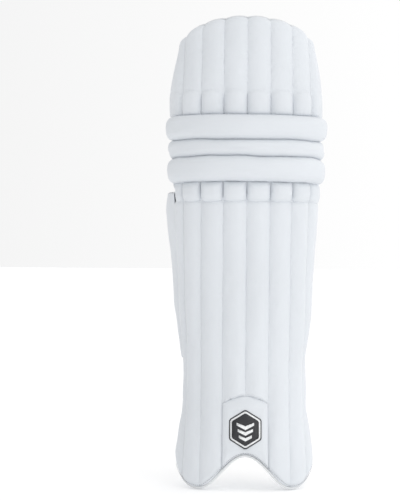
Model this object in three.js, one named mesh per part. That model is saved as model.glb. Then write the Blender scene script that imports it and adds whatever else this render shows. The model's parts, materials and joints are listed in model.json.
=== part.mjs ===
// Cricket leg pad for a right leg: a curved, channelled shin guard with knee rolls, a flexing top,
// a folding side wing and three hook-and-loop straps. Millimetres, +Z up, the front faces -Y.
// The origin is on the rear face of the centre panel, where the shin rests.
import * as THREE from "three";
import { mergeVertices } from "three/addons/utils/BufferGeometryUtils.js";

// Driving dimensions. Heights are measured up from the lowest point of the foot.
const padHeight = 700;
const bedHeight = 300;
const channelWidth = 35.5;
const channelCount = 8;
const gap = 0.3;
const layerGap = 1.4;

// The section is a broad front arc, a tighter shoulder arc and a straight side wall.
const frontArc = 2 * channelWidth;
const shoulderInset = 34;
const wallHeading = THREE.MathUtils.degToRad(85);
const outlineArc = 145;

// Seams across the pad, and how far each hinged joint may close up behind.
const knuckleBottom = 425;
const kneeBottom = 454;
const kneeTop = 552;
const shoulderHeight = 644;
const flexAngle = THREE.MathUtils.degToRad(8.5);
const flexLine = -40;
const notchHeight = 49;
const lobeArc = 75;
const cornerRise = 30;
const cornerArc = 55;
const instepTop = 136;
const instepDrop = 12;

// Layers of the shin, measured inward from the facing's outer surface.
const facingThickness = 5;
const caneRadius = 4.5;
const caneSpacing = 33.7;
const caneStart = 16;
const caneEnd = 4;
const caneDepth = facingThickness + layerGap + caneRadius;
const foamFront = caneDepth + caneRadius + layerGap;
const foamMiddle = 13;
const foamSide = 1.8;
const foamMiddleArc = 50;
const foamSideArc = 105;
const foamHem = 3;
const hemRise = 90;
const liningThickness = 2.6;
const foamMargin = 4;
const foamStart = 10;
const liningMargin = 2;
const liningStart = 6;
const knuckleCrown = 11;

// The centre panel and the two bolsters behind the shin.
const panelHalf = 47;
const panelLow = 162;
const panelHigh = 440;
const bolsterLow = 163;
const bolsterHigh = 436;
const bolsterInnerArc = 50;
const bolsterOuterArc = 118;
const bolsterCrown = 27;
const bolsterEdge = 5;
const bolsterSideRoundness = 4;
const bolsterEndRoundness = 12;

// The instep panel and its badge stand a little proud of the facing.
const instepFront = -3.8;
const instepRear = -1.2;
const instepBadge = { height: 88, halfAcross: 24, halfUp: 29, front: -6.6, rear: -4.8 };

// Layers of the top.
const topFacing = 6;
const topFoamRear = 18;
const topLiningRear = 22;
const topArch = 0.65;
const topClearance = 1.5;
const topFoamDrop = 5;
const topLiningDrop = 3;
const topBadge = {
  height: 631, halfAcross: 30, halfUp: 37, front: topLiningRear + gap, rear: topLiningRear + 2.3,
};

// Knee.
const rollDepth = 13;
const rollThinning = 0.4;
const rollTubeLength = 20;
const rolls = [
  { name: "knee_roll_upper", low: 516, high: kneeTop, proud: 24, reach: 148 },
  { name: "knee_roll_middle", low: 491, high: 516, proud: 20, reach: 145 },
  { name: "knee_roll_lower", low: kneeBottom + 1, high: 491, proud: 24, reach: 146 },
];
const kneeFoamRear = 24;
const kneeBolsterArc = 124;
const kneeBolsterLow = 449;
const kneeBolsterHigh = 564;
const kneeBolsterRear = 36;
const kneeBolsterHollow = 5;
const kneeBolsterEdge = 4;
const kneeBolsterRounding = 15;

// Wing.
const wingBottom = 188;
const wingTop = 438;
const wingReach = 38;
const wingFoot = 0.16;
const wingCorner = 0.7;
const wingFlare = 13;
const wingRoot = 14;
const wingTip = 7;
const wingHingeGap = 2.6;
const wingSkin = 3;
const wingLiningSkin = 2;
const wingFoamShare = 0.94;
const wingLiningShare = 0.97;

// Cords along the edges.
const cordRadius = 2;
const cordGap = 2.4;
const soleArc = 126;
const soleStep = 14;
const rimShare = 0.96;
const rimStep = 0.12;

// Straps.
const strapThickness = 2.4;
const patchThickness = 2;
const patchGap = 2;
const edgeThickness = 16;
const strapClearance = 0.8;
const hookLength = 15;
const hookSetback = 2;
const loopClearance = 5.2;
const rootLift = 1;
const calfRootInset = 4.8;
const calfTabFront = 0.45;
const calfTabRear = 0.92;
const strapLines = { knee: 482, calf: 345, ankle: 143 };
const narrowStrap = 34;
const broadStrap = 62;

const lerp = THREE.MathUtils.lerp;

// A smooth curve through a few [height, value] pairs.
function profile(points) {
  return (height) => {
    const last = points.length - 1;
    const clamped = THREE.MathUtils.clamp(height, points[0][0], points[last][0]);
    let i = 0;
    while (i < last - 1 && clamped > points[i + 1][0]) {
      i += 1;
    }
    const [startHeight, startValue] = points[i];
    const [endHeight, endValue] = points[i + 1];
    const t = (clamped - startHeight) / (endHeight - startHeight);
    return lerp(startValue, endValue, THREE.MathUtils.smoothstep(t, 0, 1));
  };
}

// Half the width of the shell, and the line of its front, from the foot to the top.
const halfWidth = profile([
  [20, 105], [125, 92.5], [165, 91.5], [300, 102], [433, 111], [590, 116], [padHeight, 103],
]);
const frontLine = profile([[0, -72], [200, -44], [590, -44], [padHeight, -36]]);

// How far back the two side walls reach. The left one stops short where the wing takes over.
const rightRear = profile([[0, 0], [60, 18], [100, 34], [190, 34], [300, 45], [560, 45], [660, 20]]);
const leftRear = profile([
  [0, 0], [60, 18], [100, 34], [165, 34], [186, 25], [440, 25], [456, 45], [560, 45], [660, 20],
]);

// The height of the bottom edge: a notch over the instep and a round lobe on each side of it.
function bottomEdge(arc) {
  const a = Math.abs(arc);
  if (a < lobeArc) {
    return notchHeight * (0.5 + 0.5 * Math.cos((Math.PI * a) / lobeArc));
  }
  return cornerRise * ((a - lobeArc) / cornerArc) ** 2;
}

// The height of the top edge, a flattened arch between the two shoulders.
function topEdge(arc) {
  const fraction = Math.min(Math.abs(arc) / outlineArc, 1);
  return shoulderHeight + (padHeight - shoulderHeight) * (1 - fraction ** 2) ** topArch;
}

// One half of the section: distance from the middle, depth behind the front, and heading.
function section(arc, width) {
  const shoulder = width - shoulderInset;
  const front = 2 * shoulder;
  const turn = frontArc / front;
  if (arc <= frontArc) {
    const heading = arc / front;
    return { x: front * Math.sin(heading), depth: front * (1 - Math.cos(heading)), heading };
  }
  const heading = Math.min(turn + (arc - frontArc) / shoulder, wallHeading);
  const straight = Math.max(arc - frontArc - (wallHeading - turn) * shoulder, 0);
  return {
    x: front * Math.sin(turn) + shoulder * (Math.sin(heading) - Math.sin(turn))
      + straight * Math.cos(wallHeading),
    depth: front * (1 - Math.cos(turn)) + shoulder * (Math.cos(turn) - Math.cos(heading))
      + straight * Math.sin(wallHeading),
    heading,
  };
}

// The arc length at which the side of the section reaches back to y.
function arcTo(y, z) {
  let low = frontArc;
  let high = 260;
  for (let step = 0; step < 30; step += 1) {
    const middle = (low + high) / 2;
    if (frontLine(z) + section(middle, halfWidth(z)).depth < y) {
      low = middle;
    } else {
      high = middle;
    }
  }
  return low;
}

const rightEdge = (z) => arcTo(rightRear(z), z);
const leftEdge = (z) => arcTo(leftRear(z), z);

// A point inside the shell: arc length from the middle, height, and depth below the outer surface.
function surface(arc, z, inward) {
  const side = arc < 0 ? -1 : 1;
  const { x, depth, heading } = section(Math.abs(arc), halfWidth(z));
  return new THREE.Vector3(
    side * (x - inward * Math.sin(heading)),
    frontLine(z) + depth + inward * Math.cos(heading),
    z,
  );
}

// Foam is thick over the shin, thin on the side walls and thin again down to the hem of the foot.
function foamRear(arc, z) {
  const fade = THREE.MathUtils.smoothstep(Math.abs(arc), foamMiddleArc, foamSideArc);
  const full = lerp(foamMiddle, foamSide, fade);
  const rise = THREE.MathUtils.smoothstep(z - bottomEdge(arc), 0, hemRise);
  return foamFront + lerp(Math.min(full, foamHem), full, rise);
}

const liningRear = (arc, z) => foamRear(arc, z) + layerGap + liningThickness;

function signedVolume(geometry) {
  const position = geometry.getAttribute("position");
  const index = geometry.index;
  const a = new THREE.Vector3();
  const b = new THREE.Vector3();
  const c = new THREE.Vector3();
  let sum = 0;
  for (let i = 0; i < index.count; i += 3) {
    a.fromBufferAttribute(position, index.getX(i));
    b.fromBufferAttribute(position, index.getX(i + 1));
    c.fromBufferAttribute(position, index.getX(i + 2));
    sum += a.dot(b.cross(c)) / 6;
  }
  return sum;
}

// Moves every corner of a simple closed solid to its place and keeps the faces pointing outward.
function reshape(source, place) {
  const bare = new THREE.BufferGeometry();
  bare.setAttribute("position", source.getAttribute("position"));
  bare.setIndex(source.index);
  const solid = mergeVertices(bare, 1e-5);
  const position = solid.getAttribute("position");
  for (let i = 0; i < position.count; i += 1) {
    const moved = place(position.getX(i), position.getY(i), position.getZ(i));
    position.setXYZ(i, moved.x, moved.y, moved.z);
  }
  if (signedVolume(solid) < 0) {
    const index = solid.index;
    for (let i = 0; i < index.count; i += 3) {
      const first = index.getX(i);
      index.setX(i, index.getX(i + 2));
      index.setX(i + 2, first);
    }
  }
  solid.computeVertexNormals();
  return solid;
}

// A curved slab that follows the shell. across gives the arc length for u from -1 to 1, bottom and
// top give the edges' heights, front and rear the depths below the outer surface.
function slab({ across, bottom, top, front, rear, columns, rows, layers = 1 }) {
  const block = new THREE.BoxGeometry(1, 1, 1, columns, rows, layers);
  return reshape(block, (a, b, c) => {
    const u = 2 * a;
    const z = lerp(bottom(u * outlineArc), top(u * outlineArc), b + 0.5);
    const arc = across(u, z);
    return surface(arc, z, lerp(front(arc, z), rear(arc, z), c + 0.5));
  });
}

const fullWidth = (u, z) => u * (u < 0 ? leftEdge(z) : rightEdge(z));
const inset = (margin) => (u, z) => u * ((u < 0 ? leftEdge(z) : rightEdge(z)) - margin);
const constant = (value) => () => value;

const pad = new THREE.Group();

const white = { color: 0xe4e8ec, roughness: 0.45 };
const navy = { color: 0x3b3c52, roughness: 0.8 };
const grey = { color: 0xb9bdc4, roughness: 0.85 };
const foam = { color: 0xd8d2c4, roughness: 0.95 };
const cane = { color: 0xc9a468, roughness: 0.6 };
const webbing = { color: 0xd9dde2, roughness: 0.8 };
const hook = { color: 0x9a9da3, roughness: 0.9 };
const badge = { color: 0x24262c, roughness: 0.4 };

function add(name, geometry, look) {
  const material = new THREE.MeshStandardMaterial({ metalness: 0, ...look });
  const mesh = new THREE.Mesh(geometry, material);
  mesh.name = name;
  pad.add(mesh);
}

// ---- Shin ----

function makeShin() {
  const shinTop = kneeBottom - 2;
  add("shin_facing", slab({
    across: fullWidth, bottom: bottomEdge, top: constant(knuckleBottom - gap),
    front: constant(0), rear: constant(facingThickness), columns: 24, rows: 18,
  }), white);

  // The knuckles are a row of short puffs between the shin and the knee.
  add("knuckle_row", slab({
    across: inset(liningMargin), bottom: constant(knuckleBottom + gap),
    top: (arc) => shinTop - wedge(arc, shinTop),
    front: (arc, z) => -knuckleCrown * Math.sin((Math.PI * (z - knuckleBottom)) / (shinTop - knuckleBottom)),
    rear: constant(facingThickness), columns: 16, rows: 4,
  }), white);

  for (let i = 0; i < channelCount; i += 1) {
    const arc = (i + 0.5 - channelCount / 2) * caneSpacing;
    const low = bottomEdge(arc) + caneStart;
    const rod = new THREE.CylinderGeometry(caneRadius, caneRadius, 1, 6, 12);
    add(`shin_cane_${i + 1}`, reshape(rod, (a, b, c) => {
      const z = lerp(low, shinTop - caneEnd, b + 0.5);
      return surface(arc + a, z, caneDepth + c);
    }), cane);
  }

  add("shin_foam", slab({
    across: inset(foamMargin), bottom: (arc) => bottomEdge(arc) + foamStart, top: constant(shinTop),
    front: constant(foamFront), rear: foamRear, columns: 18, rows: 12,
  }), foam);

  add("shin_lining", slab({
    across: inset(liningMargin), bottom: (arc) => bottomEdge(arc) + liningStart, top: constant(shinTop),
    front: (arc, z) => foamRear(arc, z) + layerGap + 2 * gap, rear: liningRear, columns: 18, rows: 12,
  }), white);

  // The centre panel fills the hollow of the lining and has a flat rear face for the shin.
  const panel = new THREE.BoxGeometry(1, 1, 1, 6, 6, 1);
  add("centre_panel", reshape(panel, (a, b, c) => {
    const z = lerp(panelLow, panelHigh, b + 0.5);
    const point = surface(2 * a * panelHalf, z, liningRear(0, z) + layerGap);
    return c > 0 ? new THREE.Vector3(point.x, 0, z) : point;
  }), navy);

  makeShinBolster("shin_bolster_left", -1);
  makeShinBolster("shin_bolster_right", 1);

  add("instep_panel", slab({
    across: (u) => u * channelWidth, bottom: (arc) => bottomEdge((arc / outlineArc) * channelWidth) + 1,
    top: (arc) => instepTop - instepDrop * (arc / outlineArc) ** 2,
    front: constant(instepFront), rear: constant(instepRear), columns: 8, rows: 6,
  }), white);

  // A hexagonal badge sewn over the instep.
  add("instep_badge", plaque(instepBadge), badge);
}

// A vertical cushion beside the shin: its front follows the lining, its rear is a rounded crown.
function makeShinBolster(name, side) {
  const block = new THREE.BoxGeometry(1, 1, 1, 6, 10, 2);
  add(name, reshape(block, (a, b, c) => {
    const z = lerp(bolsterLow, bolsterHigh, b + 0.5);
    const arc = lerp(bolsterInnerArc, bolsterOuterArc, a + 0.5);
    const front = surface(side * arc, z, liningRear(arc, z) + layerGap + gap);
    const thinnest = front.y + bolsterEdge;
    const round = Math.sqrt(
      (1 - Math.abs(2 * a) ** bolsterSideRoundness) * (1 - Math.abs(2 * b) ** bolsterEndRoundness),
    );
    const rear = Math.max(lerp(thinnest, bolsterCrown, round), thinnest);
    return new THREE.Vector3(front.x, lerp(front.y, rear, c + 0.5), z);
  }), white);
}

// A thin hexagon bent to the shell, taller than it is wide.
function plaque({ height, halfAcross, halfUp, front, rear }) {
  const disc = new THREE.CylinderGeometry(1, 1, 1, 6, 1);
  return reshape(disc, (a, b, c) => surface(
    halfAcross * a,
    height + halfUp * c,
    lerp(front, rear, b + 0.5),
  ));
}

// ---- Knee ----

// How far everything behind the hinge line is cut away so that a joint can close.
function wedge(arc, z) {
  const { y } = surface(arc, z, kneeFoamRear);
  return Math.max(y - flexLine, 0) * Math.tan(flexAngle);
}

function makeRoll({ name, low, high, proud, reach }) {
  const middle = (low + high) / 2;
  const half = (high - low) / 2 - gap;
  const tube = new THREE.CapsuleGeometry(1, rollTubeLength, 3, 12, 18);
  add(name, reshape(tube, (a, b, c) => {
    const arc = (b / (rollTubeLength / 2 + 1)) * reach;
    const thin = 1 - rollThinning * (arc / reach) ** 2;
    const inward = c > 0 ? rollDepth * Math.min(c * 2, 1) : proud * thin * c;
    return surface(arc, middle + half * a, inward);
  }), white);
}

function makeKnee() {
  rolls.forEach(makeRoll);

  add("knee_foam", slab({
    across: inset(1), bottom: (arc) => kneeBottom + 1 + wedge(arc, kneeBottom), top: constant(kneeTop),
    front: constant(rollDepth + layerGap), rear: constant(kneeFoamRear), columns: 16, rows: 3,
  }), foam);

  // The knee bolster is one broad cushion across the rear of the knee.
  const block = new THREE.BoxGeometry(1, 1, 1, 14, 6, 1);
  add("knee_bolster", reshape(block, (a, b, c) => {
    const u = 2 * a;
    const z = lerp(kneeBolsterLow, kneeBolsterHigh, b + 0.5);
    const edge = 1 - Math.sqrt(1 - (2 * b) ** 4);
    const front = surface(kneeBolsterArc * u, z, kneeFoamRear + layerGap + kneeBolsterRounding * edge);
    const crown = kneeBolsterRear - kneeBolsterHollow * (1 - u ** 2) - kneeBolsterRounding * edge;
    return new THREE.Vector3(front.x, c > 0 ? Math.max(crown, front.y + kneeBolsterEdge) : front.y, z);
  }), white);
}

// ---- Top ----

function makeTop() {
  const low = (arc) => kneeTop + topClearance + wedge(arc, kneeTop);
  const raised = (arc) => low(arc) + 1;
  const trimmed = (extra) => (arc) => topEdge(arc) - extra;
  add("top_facing", slab({
    across: fullWidth, bottom: low, top: topEdge,
    front: constant(0), rear: constant(topFacing), columns: 20, rows: 5,
  }), white);
  add("top_foam", slab({
    across: inset(foamMargin), bottom: raised, top: trimmed(topFoamDrop),
    front: constant(topFacing + layerGap), rear: constant(topFoamRear), columns: 20, rows: 5,
  }), foam);
  add("top_lining", slab({
    across: inset(liningMargin), bottom: raised, top: trimmed(topLiningDrop),
    front: constant(topFoamRear + layerGap), rear: constant(topLiningRear), columns: 20, rows: 5,
  }), navy);
  add("top_badge", plaque(topBadge), badge);
}

// ---- Wing ----

// A point of the wing: u runs from its hinge to its rear edge, inward from its outer skin.
function wingPoint(u, z, inward) {
  const start = surface(-leftEdge(z), z, 0);
  const rise = (z - wingBottom) / (wingTop - wingBottom);
  const spread = lerp(wingFoot, 1, rise);
  const corner = Math.min(1, wingCorner + 3 * (1 - rise));
  const reach = wingReach * spread * corner;
  return new THREE.Vector3(
    start.x - wingFlare * u * (reach / wingReach) + inward,
    start.y + wingHingeGap + reach * u,
    z,
  );
}

function wingThickness(u) {
  return lerp(wingRoot, wingTip, u);
}

function wingLayer(front, rear, shrink) {
  const block = new THREE.BoxGeometry(1, 1, 1, 3, 7, 1);
  return reshape(block, (a, b, c) => {
    const u = (a + 0.5) * shrink;
    const z = lerp(wingBottom, wingTop, b + 0.5);
    return wingPoint(u, z, lerp(front(u), rear(u), c + 0.5));
  });
}

function makeWing() {
  const liningFront = (u) => wingThickness(u) - wingLiningSkin;
  add("wing_facing", wingLayer(constant(0), constant(wingSkin), 1), white);
  add("wing_foam", wingLayer(
    constant(wingSkin + gap),
    (u) => liningFront(u) - 2 * gap,
    wingFoamShare,
  ), foam);
  add("wing_lining", wingLayer(liningFront, wingThickness, wingLiningShare), grey);
}

// ---- Edge bindings ----

// A round cord bent along a list of points.
function piping(points, radius, steps) {
  const circle = new THREE.Shape();
  circle.absarc(0, 0, radius, 0, 2 * Math.PI);
  return reshape(new THREE.ExtrudeGeometry(circle, {
    steps, bevelEnabled: false, curveSegments: 3, extrudePath: new THREE.CatmullRomCurve3(points),
  }), (x, y, z) => new THREE.Vector3(x, y, z));
}

function makePipings() {
  const sole = [];
  for (let arc = -soleArc; arc <= soleArc; arc += soleStep) {
    sole.push(surface(arc, bottomEdge(arc) - cordRadius - cordGap, facingThickness / 2));
  }
  add("foot_piping", piping(sole, cordRadius, 48), white);

  const rim = [];
  for (let u = -rimShare; u < rimShare + rimStep / 2; u += rimStep) {
    const z = topEdge(u * outlineArc);
    rim.push(surface(fullWidth(u, z), z + cordRadius + layerGap, topFacing));
  }
  add("top_piping", piping(rim, cordRadius, 40), white);

  const tail = [];
  for (let step = 0; step <= 8; step += 1) {
    const z = lerp(wingBottom + 2, wingTop - 2, step / 8);
    const tip = wingPoint(1, z, wingTip / 2);
    tail.push(new THREE.Vector3(tip.x, tip.y + cordRadius + cordGap, z));
  }
  add("wing_piping", piping(tail, cordRadius, 16), white);
}

// ---- Straps ----

// A flat block between two distances along a strap and two distances behind its line.
function strapBlock(strap, along, behind, height) {
  const line = new THREE.Vector3().subVectors(strap.far, strap.root);
  line.normalize();
  const normal = new THREE.Vector3(-line.y, line.x, 0);
  return reshape(new THREE.BoxGeometry(1, 1, 1, 1, 1, 1), (a, b, c) => strap.root.clone()
    .addScaledVector(line, lerp(along[0], along[1], a + 0.5))
    .addScaledVector(normal, lerp(behind[0], behind[1], c + 0.5))
    .setZ(strap.root.z + height * b));
}

function makeStrap(name, root, far, width) {
  const strap = { root, far };
  const length = root.distanceTo(far);
  const middle = length / 2;
  add(`${name}_strap_near`, strapBlock(
    strap, [strapClearance, middle - gap], [0, strapThickness], width,
  ), webbing);
  add(`${name}_strap_far`, strapBlock(
    strap, [middle + gap, length], [0, strapThickness], width,
  ), webbing);
  add(`${name}_hook_patch`, strapBlock(
    strap,
    [length - hookSetback - hookLength, length - hookSetback],
    [-patchThickness - gap, -gap],
    width - 2 * hookSetback,
  ), hook);
  add(`${name}_loop_patch`, edgePatch(root.z, width, (z) => rightEdge(z) + patchGap, 1), hook);
}

// The strap's far end lies just behind the loop patch on the right edge.
function farPoint(z) {
  const corner = surface(rightEdge(z), z, 0);
  return new THREE.Vector3(corner.x, corner.y + 2 * patchThickness + loopClearance, z);
}

// A thin block on the end face of the shell's rear edge.
function edgePatch(height, width, start, side) {
  return slab({
    across: (u, z) => side * (start(z) + (patchThickness * (u + 1)) / 2),
    bottom: constant(height - width / 2), top: constant(height + width / 2),
    front: constant(2 * gap), rear: constant(edgeThickness), columns: 1, rows: 2,
  });
}

function makeStraps() {
  for (const name of ["knee", "ankle"]) {
    const height = strapLines[name];
    const corner = surface(-leftEdge(height), height, edgeThickness + rootLift);
    const root = new THREE.Vector3(
      corner.x + rootLift, corner.y + patchGap + patchThickness + rootLift, height,
    );
    makeStrap(name, root, farPoint(height), narrowStrap);
    add(`${name}_strap_tab`, edgePatch(height, narrowStrap, (z) => leftEdge(z) + patchGap, -1), webbing);
  }

  const height = strapLines.calf;
  const corner = wingPoint(calfTabFront, height, wingThickness(calfTabFront) + patchThickness);
  const root = new THREE.Vector3(corner.x + calfRootInset, corner.y, height);
  makeStrap("calf", root, farPoint(height), broadStrap);
  add("calf_strap_tab", reshape(new THREE.BoxGeometry(1, 1, 1, 1, 2, 1), (a, b, c) => {
    const u = lerp(calfTabFront, calfTabRear, a + 0.5);
    return wingPoint(u, height + broadStrap * b, wingThickness(u) + gap + patchThickness * (c + 0.5));
  }), webbing);
}

makeShin();
makeKnee();
makeTop();
makeWing();
makePipings();
makeStraps();

pad.position.z = -bedHeight;
const group = new THREE.Group();
group.add(pad);

export default group;
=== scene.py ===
"""Cricket leg pad for a right leg: the visual model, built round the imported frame."""
import json
import math

import bpy
import numpy as np
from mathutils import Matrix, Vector


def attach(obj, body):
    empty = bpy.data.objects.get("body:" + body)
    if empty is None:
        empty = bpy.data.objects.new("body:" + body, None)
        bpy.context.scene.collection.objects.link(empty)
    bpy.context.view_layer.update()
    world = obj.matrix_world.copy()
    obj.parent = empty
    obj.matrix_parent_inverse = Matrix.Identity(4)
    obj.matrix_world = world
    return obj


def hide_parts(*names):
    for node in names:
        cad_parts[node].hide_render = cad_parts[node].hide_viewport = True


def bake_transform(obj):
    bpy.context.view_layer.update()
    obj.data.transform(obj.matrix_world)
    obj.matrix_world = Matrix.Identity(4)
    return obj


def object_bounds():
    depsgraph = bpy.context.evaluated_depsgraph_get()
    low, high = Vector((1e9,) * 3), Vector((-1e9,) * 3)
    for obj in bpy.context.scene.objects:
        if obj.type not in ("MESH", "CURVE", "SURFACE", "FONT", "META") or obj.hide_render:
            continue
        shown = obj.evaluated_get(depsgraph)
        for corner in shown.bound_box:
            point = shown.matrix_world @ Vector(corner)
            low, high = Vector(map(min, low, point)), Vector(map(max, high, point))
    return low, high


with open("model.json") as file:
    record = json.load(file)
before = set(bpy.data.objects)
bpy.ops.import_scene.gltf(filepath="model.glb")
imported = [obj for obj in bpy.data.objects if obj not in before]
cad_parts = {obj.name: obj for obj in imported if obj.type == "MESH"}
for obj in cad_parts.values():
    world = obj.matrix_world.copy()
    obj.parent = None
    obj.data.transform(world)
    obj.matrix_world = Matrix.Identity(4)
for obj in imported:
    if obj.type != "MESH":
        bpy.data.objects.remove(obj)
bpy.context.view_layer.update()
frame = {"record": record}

# ---- The shell's own measures, in millimetres, with heights above the lowest point of the foot. ----
PAD_HEIGHT = 700.0
BED_HEIGHT = 300.0
CHANNEL = 35.5
FRONT_ARC = 2 * CHANNEL
SHOULDER_INSET = 34.0
WALL_HEADING = math.radians(85)
OUTLINE_ARC = 145.0
RIM_ARC = 143.0
KNUCKLE_BOTTOM = 425.0
KNEE_BOTTOM = 454.0
KNEE_TOP = 552.0
SHOULDER_HEIGHT = 644.0
LOBE_ARC = 75.0
NOTCH_HEIGHT = 49.0
INSTEP_TOP = 136.0
INSTEP_DROP = 12.0
SEAMS = [CHANNEL * k for k in range(-3, 4)]


def profile(points):
    """A smooth curve through a few (height, value) pairs."""
    heights = np.array([p[0] for p in points], float)
    values = np.array([p[1] for p in points], float)

    def curve(z):
        z = np.clip(np.asarray(z, float), heights[0], heights[-1])
        i = np.clip(np.searchsorted(heights, z, side="right") - 1, 0, len(heights) - 2)
        t = (z - heights[i]) / (heights[i + 1] - heights[i])
        t = t * t * (3 - 2 * t)
        return values[i] + (values[i + 1] - values[i]) * t

    return curve


half_width = profile([
    (20, 105), (125, 92.5), (165, 91.5), (300, 102), (433, 111), (590, 116), (700, 103),
])
front_line = profile([(0, -72), (200, -44), (590, -44), (700, -36)])
right_rear = profile([(0, 0), (60, 18), (100, 34), (190, 34), (300, 45), (560, 45), (660, 20)])
left_rear = profile([
    (0, 0), (60, 18), (100, 34), (165, 34), (186, 25), (440, 25), (456, 45), (560, 45), (660, 20),
])


def smooth(value, low, high):
    t = np.clip((np.asarray(value, float) - low) / (high - low), 0, 1)
    return t * t * (3 - 2 * t)


def section(arc, width):
    """Half of the section at an arc length from the middle: distance out, depth and heading."""
    shoulder = width - SHOULDER_INSET
    front = 2 * shoulder
    turn = FRONT_ARC / front
    inner = np.minimum(arc, FRONT_ARC) / front
    outer = turn + (arc - FRONT_ARC) / shoulder
    heading = np.where(arc <= FRONT_ARC, inner, np.minimum(outer, WALL_HEADING))
    straight = np.maximum(arc - FRONT_ARC - (WALL_HEADING - turn) * shoulder, 0)
    bend = np.where(arc <= FRONT_ARC, front, shoulder)
    start = np.where(arc <= FRONT_ARC, 0, turn)
    across = front * np.sin(np.minimum(turn, start)) + bend * (np.sin(heading) - np.sin(start))
    depth = np.where(arc <= FRONT_ARC, 0, front * (1 - np.cos(turn)))
    depth = depth + bend * (np.cos(start) - np.cos(heading))
    return (across + straight * math.cos(WALL_HEADING), depth + straight * math.sin(WALL_HEADING),
            heading)


def arc_to(y, z):
    """The arc length at which the side of the section reaches back to y."""
    low = np.full(np.shape(z), FRONT_ARC)
    high = np.full(np.shape(z), 260.0)
    for _ in range(30):
        middle = (low + high) / 2
        short = front_line(z) + section(middle, half_width(z))[1] < y
        low = np.where(short, middle, low)
        high = np.where(short, high, middle)
    return low


def edges(z):
    """The signed arc lengths of the left and right rear edges."""
    z = np.asarray(z, float)
    return -arc_to(left_rear(z), z), arc_to(right_rear(z), z)


def skin(arc, z, lift, turn_radius=0.0, left=None, right=None):
    """Points lift above the shell's outer surface. Past a rear edge the skin turns inward."""
    arc, z, lift = np.broadcast_arrays(np.asarray(arc, float), np.asarray(z, float), lift)
    over = np.zeros_like(arc)
    if turn_radius:
        over = np.maximum(arc - right, 0) - np.maximum(left - arc, 0)
        arc = np.clip(arc, left, right)
    side = np.where(arc < 0, -1.0, 1.0)
    across, depth, heading = section(np.abs(arc), half_width(z))
    normal = np.stack([side * np.sin(heading), -np.cos(heading)], -1)
    ahead = np.stack([side * np.cos(heading), np.sin(heading)], -1)
    base = np.stack([side * across, front_line(z) + depth], -1)
    if turn_radius:
        angle = np.minimum(np.abs(over) / turn_radius, math.pi)[..., None]
        back = np.maximum(np.abs(over) - math.pi * turn_radius, 0)[..., None]
        centre = base - turn_radius * normal
        turned = normal * np.cos(angle) + ahead * np.sin(angle)
        base = centre + turned * turn_radius - ahead * back
        normal = turned
    flat = base + normal * lift[..., None]
    return np.concatenate([flat, z[..., None]], -1)


EDGE_INSET = 9.0


def soft_edges(z):
    """The arc lengths where the stuffed cover starts to turn in round the side edges."""
    left, right = edges(z)
    return left + EDGE_INSET, right - EDGE_INSET


def around(inner, z, radius, reach, alpha, beta, up=1.0, back=0.0):
    """Points at a distance reach from the middle of the shell's edge. The angle alpha turns from the
    outer face to the inner one, and beta turns from the side edge to the rim."""
    inner, z, reach, alpha, beta = np.broadcast_arrays(inner, z, reach, alpha, beta)
    side = np.where(inner < 0, -1.0, 1.0)
    across, depth, heading = section(np.abs(inner), half_width(z))
    zero = np.zeros_like(heading)
    normal = np.stack([side * np.sin(heading), -np.cos(heading), zero], -1)
    ahead = np.stack([side * np.cos(heading), np.sin(heading), zero], -1)
    base = np.stack([side * across, front_line(z) + depth, z], -1)
    along = reach * np.sin(alpha) * np.cos(beta) - back
    rise = up * reach * np.sin(alpha) * np.sin(beta)
    points = base + (reach * np.cos(alpha) - radius)[..., None] * normal + along[..., None] * ahead
    points[..., 2] += rise
    return points


def closed_edge(arc, z, radius, lift, share, left, right, up):
    """One row of a cover as it turns over the rim: share runs from 0 outside to 1 inside."""
    over = np.abs(np.maximum(arc - right, 0) - np.maximum(left - arc, 0))
    phi = np.minimum(over / radius, math.pi)
    theta = share * math.pi
    alpha = phi + (math.pi - phi) * share
    beta = (math.pi / 2) * theta / (theta + phi)
    back = np.maximum(over - math.pi * radius, 0)
    reach = radius + lift * (1 - share) ** 2
    return around(np.clip(arc, left, right), z, radius, reach, alpha, beta, up, back)


def bottom_edge(arc):
    a = np.abs(arc)
    notch = NOTCH_HEIGHT * (0.5 + 0.5 * np.cos(math.pi * np.minimum(a, LOBE_ARC) / LOBE_ARC))
    return np.where(a < LOBE_ARC, notch, 30 * ((a - LOBE_ARC) / 55) ** 2)


def top_edge(arc):
    fraction = np.minimum(np.abs(arc) / OUTLINE_ARC, 1)
    return SHOULDER_HEIGHT + (PAD_HEIGHT - SHOULDER_HEIGHT) * (1 - fraction ** 2) ** 0.65


def ripple(a, b, wavelength, seed, waves=14):
    """Smooth random relief, about -1 to 1, from a fixed set of waves."""
    random = np.random.default_rng(seed)
    total = np.zeros(np.broadcast(a, b).shape)
    for _ in range(waves):
        angle = random.uniform(0, 2 * math.pi)
        length = wavelength * random.uniform(0.65, 1.6)
        phase = random.uniform(0, 2 * math.pi)
        total += np.sin(2 * math.pi * (a * math.cos(angle) + b * math.sin(angle)) / length + phase)
    return total / math.sqrt(waves)


# ---- Mesh helpers ----
def metres(points):
    return (np.asarray(points, float) - np.array([0, 0, BED_HEIGHT])) / 1000


def link(name, points, faces, material, flat=None):
    """A smooth mesh object from points in millimetres; flat is each point's place on the cloth."""
    mesh = bpy.data.meshes.new(name)
    mesh.from_pydata(metres(points).tolist(), [], [tuple(f) for f in faces])
    mesh.polygons.foreach_set("use_smooth", np.ones(len(mesh.polygons), bool))
    if flat is not None:
        attribute = mesh.attributes.new("cloth", "FLOAT_VECTOR", "POINT")
        attribute.data.foreach_set("vector", np.asarray(flat, np.float32).ravel())
    mesh.materials.append(material)
    mesh.update()
    obj = bpy.data.objects.new(name, mesh)
    bpy.context.scene.collection.objects.link(obj)
    return obj


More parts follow.
